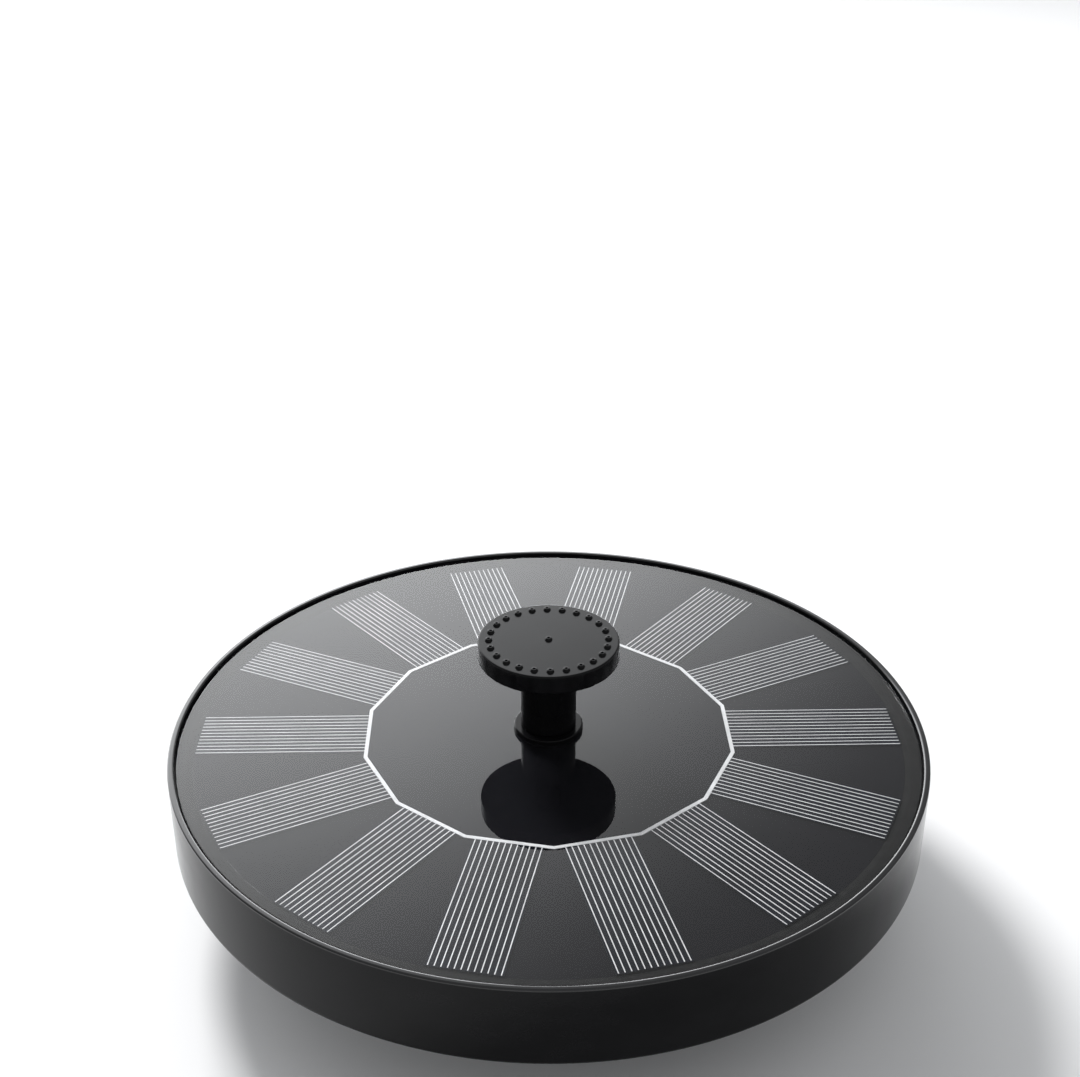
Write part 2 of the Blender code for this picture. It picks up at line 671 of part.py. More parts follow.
def make_outlet_duct(look):
    """The duct climbs beside the motor, crosses above it and turns up into the nozzle's socket."""
    up = Vector((0, 0, 1))
    foot = Vector((OUTLET_X, OUTLET_Y, 0))
    inwards = -foot.normalized()
    level = up * DUCT_LEVEL
    path = bend(foot + level, up, inwards, DUCT_BEND, 6) + bend(level, inwards, up, DUCT_BEND, 6)
    outer = [foot + up * DUCT_BOTTOM, *path, up * DUCT_TOP]
    duct = add_rod("outlet_duct", outer, DUCT_RADIUS, look)
    inner = [foot + up * (DUCT_BOTTOM - MM), *path, up * (DUCT_TOP + MM)]
    cut(duct, add_rod("duct_bore_tool", inner, OUTLET_BORE))


def add_o_ring(name, ring_radius, rubber_radius, height, look, at=(0, 0)):
    sides = 6
    angles = [-index * math.tau / sides for index in range(sides)]
    profile = [
        (ring_radius + rubber_radius * math.cos(angle), height + rubber_radius * math.sin(angle))
        for angle in angles
    ]
    ring = add_turned(name, profile, look, 20)
    ring.location = (*at, 0)


def make_seals(look):
    add_o_ring("duct_seal", 3.5 * MM, 0.55 * MM, PLATE_TOP + 0.65 * MM, look, (OUTLET_X, OUTLET_Y))
    add_o_ring("spigot_ring", 4.55 * MM, 0.33 * MM, 36.6 * MM, look)
    low = BAY_ROOF_TOP + 0.1 * MM
    high = BOARD_BOTTOM - 0.1 * MM
    profile = [(9.0 * MM, high), (9.0 * MM, low), (NECK_RADIUS, low), (NECK_RADIUS, high)]
    add_turned("neck_seal", profile, look)


def make_nozzle_socket(look):
    profile = [
        (FLANGE_RADIUS, FLANGE_TOP, 0.3 * MM),
        (FLANGE_RADIUS, GLASS_TOP + 0.1 * MM),
        (SOCKET_RADIUS, GLASS_TOP + 0.1 * MM),
        (SOCKET_RADIUS, BAY_ROOF + 0.4 * MM),
        (DUCT_RADIUS + GAP, BAY_ROOF + 0.4 * MM),
        (DUCT_RADIUS + GAP, DUCT_TOP + 0.4 * MM),
        (3.7 * MM, DUCT_TOP + 0.4 * MM),
        (3.7 * MM, SOCKET_STOP),
        (SOCKET_BORE, SOCKET_STOP),
        (SOCKET_BORE, FLANGE_TOP),
    ]
    add_turned("nozzle_socket", profile, look, MIDDLE_STEPS)


def make_nozzle_tube(look):
    top = CAP_BOTTOM - 0.2 * MM
    groove = 4.2 * MM
    profile = [
        (TUBE_RADIUS, top),
        (TUBE_RADIUS, FLANGE_TOP + 0.2 * MM),
        (SPIGOT_RADIUS, FLANGE_TOP + 0.2 * MM),
        (SPIGOT_RADIUS, 37.15 * MM),
        (groove, 37.15 * MM),
        (groove, 36.05 * MM),
        (SPIGOT_RADIUS, 36.05 * MM),
        (SPIGOT_RADIUS, SOCKET_STOP + 0.3 * MM),
        (3.5 * MM, SOCKET_STOP + 0.3 * MM),
        (3.5 * MM, 48.0 * MM),
        (4.7 * MM, 48.6 * MM),
        (4.7 * MM, top),
    ]
    add_turned("nozzle_tube", profile, look, MIDDLE_STEPS)


def make_spray_cap(look):
    """A hollow disc that plugs into the tube, with one raised jet for each stream."""
    plug_bottom = 49.2 * MM
    profile = [
        (0, CAP_TOP),
        (CAP_RADIUS, CAP_TOP, 0.35 * MM),
        (CAP_RADIUS, CAP_BOTTOM, 0.35 * MM),
        (4.55 * MM, CAP_BOTTOM),
        (4.55 * MM, plug_bottom),
        (3.5 * MM, plug_bottom),
        (3.5 * MM, CAP_BOTTOM + 1.2 * MM),
        (CAP_RADIUS - 1.4 * MM, CAP_BOTTOM + 1.2 * MM),
        (CAP_RADIUS - 1.4 * MM, CAP_TOP - 1.2 * MM),
        (0, CAP_TOP - 1.2 * MM),
    ]
    cap = add_turned("spray_cap", profile, look, MIDDLE_STEPS)
    ring = around_circle(JET_CIRCLE, CAP_TOP, even_angles(JET_COUNT))
    jets = [*ring, Matrix.Translation((0, 0, CAP_TOP))]
    nub = add_cylinder("nub_source", 0.85 * MM, -0.3 * MM, 0.5 * MM, steps=6, top_radius=0.55 * MM)
    nub.data.transform(Matrix.Translation((0, 0, 0.1 * MM)))
    fuse(cap, joined_copies("nub_tool", nub, jets))
    hole = add_cylinder("jet_source", 0.33 * MM, -2.0 * MM, 2.0 * MM, steps=5)
    cut(cap, joined_copies("jet_tool", hole, jets))


def make_strainer_cover(look):
    inner = STRAINER_RADIUS - STRAINER_WALL
    spigot_outer = BAY_RADIUS - 0.4 * MM
    spigot_inner = spigot_outer - 1.7 * MM
    spigot_top = 24.8 * MM
    foot_inner = STRAINER_RADIUS - 7.0 * MM
    profile = [
        (0, 1.8 * MM),
        (inner, 1.8 * MM),
        (inner, SHOULDER_HEIGHT - 1.5 * MM),
        (spigot_inner, SHOULDER_HEIGHT - 1.5 * MM),
        (spigot_inner, spigot_top),
        (spigot_outer, spigot_top),
        (spigot_outer, SHOULDER_HEIGHT),
        (STRAINER_RADIUS, SHOULDER_HEIGHT, 0.4 * MM),
        (STRAINER_RADIUS, 0, 1.2 * MM),
        (foot_inner, 0),
        (foot_inner - 0.6 * MM, 0.6 * MM),
        (0, 0.6 * MM),
    ]
    cover = add_turned("strainer_cover", profile, look, SLOT_COUNT)
    half = SLOT_WIDTH / 2
    slot = add_box("slot_source", (inner - MM, -half, SLOT_BOTTOM), (STRAINER_RADIUS + MM, half, SLOT_TOP))
    turns = [Matrix.Rotation(angle, 4, "Z") for angle in even_angles(SLOT_COUNT, math.radians(5))]
    cut(cover, joined_copies("slot_tool", slot, turns))


def make_filter_sponge(look):
    outer = STRAINER_RADIUS - STRAINER_WALL - GAP
    inner = outer - 3.4 * MM
    low = 2.1 * MM
    high = SHOULDER_HEIGHT - 1.9 * MM
    profile = [(outer, high), (outer, low), (inner, low), (inner, high)]
    add_turned("filter_sponge", profile, look, SLOT_COUNT)


def shade(made):
    for polygon in made.data.polygons:
        polygon.use_smooth = True
    made.data.set_sharp_from_angle(angle=math.radians(35))


def make_float(shell, glass, rubber):
    make_float_shell(shell)
    make_glass_cover(glass)
    make_glass_seal(rubber)


def make_panel():
    make_panel_board(add_material("laminate_black", (0.012, 0.012, 0.014), 0.45))
    make_bus_ring(add_material("silver_ribbon", (0.62, 0.63, 0.65), 0.3, 1.0))
    make_solar_cells(add_material("silicon_cell", (0.012, 0.013, 0.018), 0.25))
    make_control_board(add_material("circuit_board", (0.02, 0.13, 0.05), 0.5))
    can = add_material("capacitor_can", (0.65, 0.66, 0.68), 0.35, 1.0)
    make_board_pieces(add_material("chip_black", (0.015, 0.015, 0.015), 0.6), can)
    red = add_material("red_insulation", (0.45, 0.02, 0.02), 0.45)
    black = add_material("black_insulation", (0.015, 0.015, 0.016), 0.45)
    make_leads(red, black)


def make_pump(shell, rubber):
    make_motor_housing(shell)
    make_motor_cap(shell)
    make_stator(
        add_material("stator_steel", (0.33, 0.33, 0.34), 0.4, 1.0),
        add_material("copper_winding", (0.72, 0.32, 0.13), 0.35, 1.0),
    )
    steel = add_material("polished_steel", (0.6, 0.6, 0.61), 0.25, 1.0)
    make_shaft_and_bushings(steel, add_material("white_ceramic", (0.82, 0.81, 0.78), 0.3))
    make_impeller(add_material("impeller_plastic", (0.75, 0.75, 0.74), 0.4))
    make_rotor_magnet(add_material("ferrite_magnet", (0.05, 0.05, 0.055), 0.5))
    make_impeller_cover(shell)
    make_outlet_duct(shell)
    make_screws(steel)
    make_lead_grommet(rubber)
    make_seals(rubber)


def make_nozzle(shell):
    make_nozzle_socket(shell)
    make_nozzle_tube(shell)
    make_spray_cap(shell)


def make_filter(shell):
    make_strainer_cover(shell)
    make_filter_sponge(add_material("filter_foam", (0.03, 0.03, 0.032), 0.95))


clear_scene()
parts = add_collection("solar_fountain_pump")
cutters = add_collection("cutters")
black_plastic = add_material("black_plastic", (0.012, 0.012, 0.013), 0.28)
black_rubber = add_material("black_rubber", (0.02, 0.02, 0.02), 0.7)
make_float(black_plastic, add_material("panel_glass", (0.03, 0.03, 0.035), 0.05), black_rubber)
make_panel()
make_pump(black_plastic, black_rubber)
make_nozzle(black_plastic)
make_filter(black_plastic)
for part in parts.objects:
    shade(part)
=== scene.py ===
import json
import math
import random

import bmesh
import bpy
from mathutils import Matrix, Vector


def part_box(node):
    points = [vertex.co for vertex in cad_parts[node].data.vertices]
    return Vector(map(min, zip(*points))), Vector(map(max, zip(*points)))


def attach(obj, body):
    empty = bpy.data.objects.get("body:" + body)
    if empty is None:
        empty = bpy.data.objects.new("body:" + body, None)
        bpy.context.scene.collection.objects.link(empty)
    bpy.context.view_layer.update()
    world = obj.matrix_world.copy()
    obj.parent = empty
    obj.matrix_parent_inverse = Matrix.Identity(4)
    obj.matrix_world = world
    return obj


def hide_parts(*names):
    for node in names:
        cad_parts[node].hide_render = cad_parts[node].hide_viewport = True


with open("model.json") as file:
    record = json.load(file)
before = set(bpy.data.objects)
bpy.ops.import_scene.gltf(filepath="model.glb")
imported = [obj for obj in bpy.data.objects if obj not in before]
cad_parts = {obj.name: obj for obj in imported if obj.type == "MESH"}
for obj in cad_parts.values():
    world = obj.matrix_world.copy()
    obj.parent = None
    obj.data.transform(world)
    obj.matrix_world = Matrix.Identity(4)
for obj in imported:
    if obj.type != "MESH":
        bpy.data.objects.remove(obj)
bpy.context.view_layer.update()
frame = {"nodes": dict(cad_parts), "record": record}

# Looks for a solar fountain pump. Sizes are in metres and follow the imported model.
MM = 0.001
PUMP = "pump"
NOZZLE = "nozzle"
CAP = "cap"
STRAINER = "strainer"

# How many steps a turned piece has round it, by its size.
WIDE_STEPS = 224
CAP_STEPS = 144
TUBE_STEPS = 96

FLOAT_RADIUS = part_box("float_shell")[1].x
RIM_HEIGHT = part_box("float_shell")[1].z
FLOAT_BOTTOM = 22.0 * MM
FLOAT_WALL = 1.8 * MM
FLOAT_ROUNDING = 0.8 * MM
LIP_WIDTH = 1.3 * MM
LIP_INNER_ROUNDING = 0.4 * MM
LIP_OUTER_ROUNDING = 0.35 * MM
LIP_POLISH_HEIGHT = RIM_HEIGHT - 0.45 * MM
LEDGE_RADIUS = 74.8 * MM
LEDGE_EDGE = 1.4 * MM
LEDGE_ROOT = 3.2 * MM
BAY_RADIUS = 31.0 * MM
BAY_ROOF = 31.2 * MM
BAY_ROOF_TOP = 32.4 * MM
NECK_RADIUS = 6.5 * MM
BOSS_RADIUS = 2.8 * MM
BOSS_CIRCLE = 24.5 * MM
BOSS_ANGLES = [math.radians(15 + 90 * turn) for turn in range(4)]
PILOT_RADIUS = 1.25 * MM
PILOT_TOP = 25.0 * MM
PLATE_TOP = 14.0 * MM
GROMMET_HOLE_RADIUS = 2.6 * MM
GROMMET_PLACE = Vector((19, -11, 0)) * MM

GLASS_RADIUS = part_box("glass_cover")[1].x
GLASS_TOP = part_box("glass_cover")[1].z
BOARD_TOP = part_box("panel_board")[1].z
# The ledge runs in under the edge of the board, so that no gap or step shows through the glass.
LEDGE_TOP = BOARD_TOP - 0.01 * MM
RESIN_CONTACT = 0.05 * MM
BEAD_START = LEDGE_RADIUS + 0.1 * MM
BEAD_SLOPE = 1.3 * MM
CELL_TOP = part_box("bus_ring")[1].z
CELL_COUNT = 14
BUS_APOTHEM = 39.55 * MM * math.cos(math.pi / CELL_COUNT)
FINGER_COUNT = 12
FINGER_SPAN = 13.2 * MM
FINGER_WIDTH = 0.21 * MM
FINGER_HEIGHT = 0.04 * MM
FINGER_START = BUS_APOTHEM + 0.3 * MM
FINGER_END = 74.4 * MM

CAP_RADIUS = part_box("spray_cap")[1].x
NUB_HEIGHT = 0.5 * MM
CAP_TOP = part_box("spray_cap")[1].z - NUB_HEIGHT
CAP_BOTTOM = CAP_TOP - 4.02 * MM
CAP_ROUNDING = 0.35 * MM
CAP_WALL = 1.2 * MM
CAP_RIM_WALL = 1.4 * MM
PLUG_RADIUS = 4.55 * MM
NOZZLE_BORE = 3.5 * MM
JET_COUNT = 24
JET_CIRCLE = 12.5 * MM
JET_RADIUS = 0.33 * MM
JET_DEPTH = 2.0 * MM
NUB_TOP_RADIUS = 0.6 * MM
NUB_FOOT_RADIUS = 0.85 * MM
NUB_ROOT_RADIUS = 0.9 * MM
NUB_ROOT = 0.2 * MM

TUBE_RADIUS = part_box("nozzle_tube")[1].x
TUBE_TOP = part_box("nozzle_tube")[1].z
SPIGOT_RADIUS = 4.8 * MM
GROOVE_RADIUS = 4.2 * MM
GROOVE_TOP = 37.15 * MM
GROOVE_BOTTOM = 36.05 * MM
PLUG_SEAT = 48.0 * MM
PLUG_SEAT_TOP = 48.6 * MM
PLUG_BORE = 4.7 * MM
FLANGE_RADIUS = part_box("nozzle_socket")[1].x
FLANGE_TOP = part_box("nozzle_socket")[1].z
SOCKET_RADIUS = 6.2 * MM
SOCKET_BORE = 4.95 * MM
SOCKET_FLOOR_TOP = 33.7 * MM
SOCKET_FLOOR_BOTTOM = 33.4 * MM
SOCKET_FLOOR_BORE = 3.7 * MM
DUCT_BORE = 4.2 * MM

STRAINER_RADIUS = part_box("strainer_cover")[1].x
STRAINER_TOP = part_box("strainer_cover")[1].z
STRAINER_STEPS = 216
SHOULDER_HEIGHT = 21.7 * MM
SHOULDER_THICKNESS = 1.5 * MM
STRAINER_WALL = 1.8 * MM
STRAINER_FLOOR = 1.8 * MM
SPIGOT_GAP = 0.4 * MM
SPIGOT_WALL = 1.7 * MM
FOOT_WIDTH = 7.0 * MM
FOOT_HEIGHT = 0.6 * MM
SLOT_COUNT = 36
SLOT_WIDTH = 2.4 * MM
SLOT_BOTTOM = 3.6 * MM
SLOT_TOP = 18.4 * MM
SLOT_START_ANGLE = math.radians(5)

FOAM_STEPS = 280
FOAM_ROWS = 26
FOAM_THICKNESS = 3.0 * MM
FOAM_INSET = 0.25 * MM
FOAM_END_INSET = 0.2 * MM
FOAM_DEEPEST_PORE = -0.35
FOAM_HIGHEST_STRUT = 0.12

CAMERA_PLACE = Vector((-7.89, -276.87, 225.77)) * MM
CAMERA_TURN = [math.radians(angle) for angle in (62.852, 0.036, -1.284)]
CAMERA_LENS = 51.56
CAMERA_SENSOR = 36.0

FLOOR_HALF_WIDTH = 3.0
FLOOR_DROP = 0.05 * MM

# Each soft light is (azimuth, elevation, half width, strength), in degrees from +Y.
BACK_LIGHT = (-18, 6, 46, 4.3)
FRONT_LIGHT = (150, 35, 70, 0.2)
ROOM_LIGHT = 0.4
ROOM_COLOUR = (0.97, 0.985, 1.0)
KEY_AZIMUTH = -28
KEY_ELEVATION = 42
KEY_DISTANCE = 1.5
KEY_SIZE = 0.42
KEY_POWER = 23.0

GLASS_TINT = (0.64, 0.645, 0.65)
BLACK = (0.0045, 0.0045, 0.005)
BLACK_ROUGHNESS = 0.14
BLACK_GRAIN = 0.05
BLACK_SPECULAR = 0.13


# Materials

# How far apart the bands of a wave texture are at scale 1, in metres.
WAVE_LENGTH = 0.314


def add_node(tree, kind, **settings):
    node = tree.nodes.new(kind)
    for key, value in settings.items():
        setattr(node, key, value)
    return node


def start_material(name):
    """A material with its node tree and Principled shader."""
    material = bpy.data.materials.new(name)
    material.use_nodes = True
    tree = material.node_tree
    return material, tree, tree.nodes["Principled BSDF"]


def noise(tree, size, detail=4.0, stretch=(1, 1, 1)):
    """Noise whose features are about this size in metres."""
    place = add_node(tree, "ShaderNodeTexCoord")
    mapping = add_node(tree, "ShaderNodeMapping")
    mapping.inputs["Scale"].default_value = [1 / (size * along) for along in stretch]
    tree.links.new(place.outputs["Object"], mapping.inputs["Vector"])
    texture = add_node(tree, "ShaderNodeTexNoise")
    texture.inputs["Scale"].default_value = 1.0
    texture.inputs["Detail"].default_value = detail
    tree.links.new(mapping.outputs["Vector"], texture.inputs["Vector"])
    return texture.outputs["Fac"]


def spread(tree, value, low, high, start=0.3, end=0.7):
    """Maps a noise value to a range."""
    node = add_node(tree, "ShaderNodeMapRange")
    node.inputs["From Min"].default_value = start
    node.inputs["From Max"].default_value = end
    node.inputs["To Min"].default_value = low
    node.inputs["To Max"].default_value = high
    tree.links.new(value, node.inputs["Value"])
    return node.outputs["Result"]


def mixed(tree, factor, first, second):
    """A colour between two colours, each a colour or the output of another node."""
    node = add_node(tree, "ShaderNodeMix", data_type="RGBA")
    tree.links.new(factor, node.inputs["Factor"])
    for socket, colour in (("A", first), ("B", second)):
        target = next(put for put in node.inputs if put.name == socket and put.type == "RGBA")
        if isinstance(colour, tuple):
            target.default_value = (*colour, 1.0)
        else:
            tree.links.new(colour, target)
    return next(out for out in node.outputs if out.type == "RGBA")


def link_colour(tree, shader, factor, first, second):
    """Makes the base colour drift between two colours as the factor does."""
    tree.links.new(mixed(tree, factor, first, second), shader.inputs["Base Color"])


def link_roughness(tree, shader, value, low, high):
    """Makes the roughness drift between two values as the noise does."""
    tree.links.new(spread(tree, value, low, high), shader.inputs["Roughness"])


def add_bump(tree, shader, height, strength, distance):
    node = add_node(tree, "ShaderNodeBump")
    node.inputs["Strength"].default_value = strength
    node.inputs["Distance"].default_value = distance
    tree.links.new(height, node.inputs["Height"])
    tree.links.new(node.outputs["Normal"], shader.inputs["Normal"])


def shade_of(colour, share):
    return tuple(min(1.0, channel * share) for channel in colour)


def moulded_plastic(name, colour, roughness, grain=0.12, specular=0.5, polished_above=None):
    """Moulded plastic with faint flow marks and fine grain. It can be polished above a height."""
    material, tree, shader = start_material(name)
    flow = noise(tree, 9 * MM, 5.0, (1, 1, 0.5))
    fine = noise(tree, 0.35 * MM, 3.0)
    link_colour(tree, shader, spread(tree, flow, 0, 1), shade_of(colour, 0.8), shade_of(colour, 1.35))
    link_roughness(tree, shader, flow, roughness * 0.8, roughness * 1.25)
    shader.inputs["Specular IOR Level"].default_value = specular
    add_bump(tree, shader, fine, grain, 0.02 * MM)
    if polished_above is not None:
        place = add_node(tree, "ShaderNodeTexCoord")
        split = add_node(tree, "ShaderNodeSeparateXYZ")
        tree.links.new(place.outputs["Object"], split.inputs["Vector"])
        polish = spread(tree, split.outputs["Z"], 0.0, 1.0, polished_above, polished_above + 0.2 * MM)
        tree.links.new(polish, shader.inputs["Coat Weight"])
    return material


def black_plastic(name, polished_above=None):
    """The plastic that all the black mouldings are made of."""
    return moulded_plastic(name, BLACK, BLACK_ROUGHNESS, BLACK_GRAIN, BLACK_SPECULAR, polished_above)


def moulded_rubber(name, colour):
    """Matt rubber with a cloudy bloom and a fine skin."""
    material, tree, shader = start_material(name)
    fine = noise(tree, 0.3 * MM, 5.0)
    bloom = noise(tree, 3 * MM, 3.0)
    link_colour(tree, shader, spread(tree, bloom, 0, 1), colour, shade_of(colour, 1.8))
    link_roughness(tree, shader, fine, 0.6, 0.85)
    shader.inputs["Specular IOR Level"].default_value = 0.1
    add_bump(tree, shader, fine, 0.3, 0.03 * MM)
    return material


def worked_metal(name, colour, roughness, stretch=(1, 1, 1)):
    """Metal with fine marks that can run one way."""
    material, tree, shader = start_material(name)
    marks = noise(tree, 0.3 * MM, 4.0, stretch)
    tint = noise(tree, 4 * MM, 3.0)
    link_colour(tree, shader, spread(tree, tint, 0, 1), shade_of(colour, 0.85), colour)
    link_roughness(tree, shader, marks, roughness * 0.7, roughness * 1.4)
    shader.inputs["Metallic"].default_value = 1.0
    add_bump(tree, shader, marks, 0.15, 0.01 * MM)
    return material


def banded_metal(name, colour, roughness, pitch):
    """Metal in fine layers or turns of wire, one to each pitch up Z."""
    material, tree, shader = start_material(name)
    place = add_node(tree, "ShaderNodeTexCoord")
    wave = add_node(tree, "ShaderNodeTexWave", wave_type="BANDS", bands_direction="Z")
    wave.inputs["Scale"].default_value = WAVE_LENGTH / pitch
    wave.inputs["Distortion"].default_value = 0.4
    tree.links.new(place.outputs["Object"], wave.inputs["Vector"])
    bands = wave.outputs["Fac"]
    link_colour(tree, shader, bands, shade_of(colour, 0.45), colour)
    link_roughness(tree, shader, noise(tree, 0.5 * MM), roughness * 0.8, roughness * 1.3)
    shader.inputs["Metallic"].default_value = 1.0
    add_bump(tree, shader, bands, 0.6, pitch * 0.3)
    return material


def speckled(name, colour, roughness, specular=0.5, size=0.25 * MM, contrast=1.6):
    """Sintered or cast stuff: a close speckle in the colour and the gloss."""
    material, tree, shader = start_material(name)
    grain = noise(tree, size, 6.0)
    link_colour(tree, shader, spread(tree, grain, 0, 1), colour, shade_of(colour, contrast))
    link_roughness(tree, shader, grain, roughness * 0.8, roughness * 1.2)
    shader.inputs["Specular IOR Level"].default_value = specular
    add_bump(tree, shader, grain, 0.15, 0.02 * MM)
    return material


def circuit_board(name):
    """Green solder mask over copper tracks."""
    material, tree, shader = start_material(name)
    place = add_node(tree, "ShaderNodeTexCoord")
    tracks = add_node(tree, "ShaderNodeTexBrick")
    tracks.inputs["Scale"].default_value = 260.0
    tracks.inputs["Mortar Size"].default_value = 0.03
    tracks.inputs["Mortar Smooth"].default_value = 0.3
    tree.links.new(place.outputs["Object"], tracks.inputs["Vector"])
    factor = tracks.outputs["Fac"]
    link_colour(tree, shader, factor, (0.01, 0.09, 0.03), (0.03, 0.2, 0.07))
    link_roughness(tree, shader, noise(tree, MM), 0.35, 0.5)
    add_bump(tree, shader, factor, 0.4, 0.05 * MM)
    return material


def cover_glass(name):
    """Smoked cover glass with a faint film of dust. Light reaches the cells straight through it."""
    material, tree, shader = start_material(name)
    shader.inputs["Transmission Weight"].default_value = 1.0
    shader.inputs["IOR"].default_value = 1.5
    film = noise(tree, 14 * MM, 5.0)
    link_colour(tree, shader, spread(tree, film, 0, 1), shade_of(GLASS_TINT, 0.94), GLASS_TINT)
    tree.links.new(spread(tree, film, 0.0, 0.01, 0.45, 0.8), shader.inputs["Roughness"])
    add_bump(tree, shader, noise(tree, 30 * MM, 2.0), 0.01, 0.02 * MM)
    clear = add_node(tree, "ShaderNodeBsdfTransparent")
    path = add_node(tree, "ShaderNodeLightPath")
    surface = shader.outputs["BSDF"]
    for kind in ("Is Shadow Ray", "Is Diffuse Ray"):
        mix = add_node(tree, "ShaderNodeMixShader")
        tree.links.new(path.outputs[kind], mix.inputs["Fac"])
        tree.links.new(surface, mix.inputs[1])
        tree.links.new(clear.outputs["BSDF"], mix.inputs[2])
        surface = mix.outputs["Shader"]
    tree.links.new(surface, tree.nodes["Material Output"].inputs["Surface"])
    return material


def silicon(name):
    """Near-black cells: an antireflection coat with a faint blue that drifts across each cell."""
    material, tree, shader = start_material(name)
    drift = noise(tree, 18 * MM, 3.0)
    grain = noise(tree, 4 * MM, 3.0)
    link_colour(tree, shader, spread(tree, drift, 0, 1), (0.006, 0.0065, 0.009), (0.010, 0.012, 0.019))
    link_roughness(tree, shader, grain, 0.35, 0.5)
    shader.inputs["Specular IOR Level"].default_value = 0.03
    add_bump(tree, shader, grain, 0.05, 0.005 * MM)
    return material


def silver_paste(name, colour, roughness, metallic):
    """Fired silver: a dull metallic grain that lightens and darkens along each line."""
    material, tree, shader = start_material(name)
    grain = noise(tree, 0.25 * MM, 4.0)
    drift = noise(tree, 6 * MM, 3.0)
    link_colour(tree, shader, spread(tree, drift, 0, 1), shade_of(colour, 0.75), colour)
    link_roughness(tree, shader, grain, roughness * 0.85, roughness * 1.15)
    shader.inputs["Metallic"].default_value = metallic
    add_bump(tree, shader, grain, 0.25, 0.02 * MM)
    return material


def filter_foam(name):
    """Open-cell foam: paler struts, with pores sunk in the bump and painted near-black in the colour as
    painted shade inside the open cells.
    """
    material, tree, shader = start_material(name)
    place = add_node(tree, "ShaderNodeTexCoord")
    pores = add_node(tree, "ShaderNodeTexVoronoi", feature="DISTANCE_TO_EDGE")
    pores.inputs["Scale"].default_value = 1 / (0.9 * MM)
    tree.links.new(place.outputs["Object"], pores.inputs["Vector"])
    strut = spread(tree, pores.outputs["Distance"], 1.0, 0.0, 0.02, 0.28)
    # Painted shade: the pores get a near-black colour for the shade inside the open cells, and the struts
    # keep the foam's own dark grey.
    link_colour(tree, shader, strut, (0.004, 0.004, 0.004), (0.06, 0.062, 0.066))
    link_roughness(tree, shader, noise(tree, MM), 0.8, 0.97)
    shader.inputs["Specular IOR Level"].default_value = 0.2
    shader.inputs["Sheen Weight"].default_value = 0.2
    add_bump(tree, shader, strut, 1.0, 0.25 * MM)
    return material


# Mesh tools

def softened(profile, segments=5):
    """Replaces each (radius, height, rounding) corner with an arc.

    A point just past each end of the arc keeps the shading of the flats beside it flat.
    """
    smooth = []
    for index, corner in enumerate(profile):
        here = Vector(corner[:2])
        if len(corner) == 2:
            smooth.append(here)
            continue
        before = (Vector(profile[index - 1][:2]) - here).normalized()
        after = (Vector(profile[(index + 1) % len(profile)][:2]) - here).normalized()
        start = here + before * corner[2]
        end = here + after * corner[2]
        smooth.append(start + before * corner[2] * 0.3)
        for step in range(segments + 1):
            share = step / segments
            rest = 1 - share
            smooth.append(start * rest**2 + here * 2 * share * rest + end * share**2)
        smooth.append(end + after * corner[2] * 0.3)
    return smooth


def turned(name, profile, steps, segments=5):
    """A closed mesh turned about Z from (radius, height) points."""
    shape = bmesh.new()
    points = [shape.verts.new((point.x, 0, point.y)) for point in softened(profile, segments)]
    edges = [shape.edges.new(pair) for pair in zip(points, points[1:])]
    if profile[0][0] > 0:
        edges.append(shape.edges.new((points[-1], points[0])))
    bmesh.ops.spin(
        shape,
        geom=points + edges,
        cent=(0, 0, 0),
        axis=(0, 0, 1),
        angle=math.tau,
        steps=steps,
        use_merge=True,
    )
    bmesh.ops.remove_doubles(shape, verts=shape.verts, dist=1e-6)
    bmesh.ops.recalc_face_normals(shape, faces=shape.faces)
    mesh = bpy.data.meshes.new(name)
    shape.to_mesh(mesh)
    shape.free()
    return mesh


def cylinder_mesh(radius, low, high, steps):
    """An upright cylinder about Z."""
    shape = bmesh.new()
    bmesh.ops.create_cone(
        shape,
        cap_ends=True,
        segments=steps,
        radius1=radius,
        radius2=radius,
        depth=high - low,
        matrix=Matrix.Translation((0, 0, (low + high) / 2)),
    )
    mesh = bpy.data.meshes.new("tool")
    shape.to_mesh(mesh)
    shape.free()
    return mesh


def copies(source, placements):
    """One mesh with a copy of the source at each placement."""
    shape = bmesh.new()
    for placement in placements:
        moved = source.copy()
        moved.transform(placement)
        shape.from_mesh(moved)
        bpy.data.meshes.remove(moved)
    mesh = bpy.data.meshes.new(source.name + "_copies")
    shape.to_mesh(mesh)
    shape.free()
    return mesh


def even_angles(count, start=0.0):
    return [start + index * math.tau / count for index in range(count)]


def around(radius, angles, height=0.0):
    """Placements on a circle about Z that face outwards."""
    reach = Matrix.Translation((radius, 0, height))
    return [Matrix.Rotation(angle, 4, "Z") @ reach for angle in angles]


def combined(mesh, steps):
    """The mesh after each (operation, tool mesh) in turn."""
    name = mesh.name
    body = bpy.data.objects.new(name + "_working", mesh)
    bpy.context.scene.collection.objects.link(body)
    helpers = []
    for operation, tool in steps:
        helper = bpy.data.objects.new(name + "_tool", tool)
        bpy.context.scene.collection.objects.link(helper)
        helpers.append(helper)
        boolean = body.modifiers.new(operation, "BOOLEAN")
        boolean.operation = operation
        boolean.solver = "EXACT"
        boolean.object = helper
    bpy.context.view_layer.update()
    graph = bpy.context.evaluated_depsgraph_get()
    made = bpy.data.meshes.new_from_object(body.evaluated_get(graph))
    for helper in [body, *helpers]:
        bpy.data.objects.remove(helper)
    made.name = name
    return made


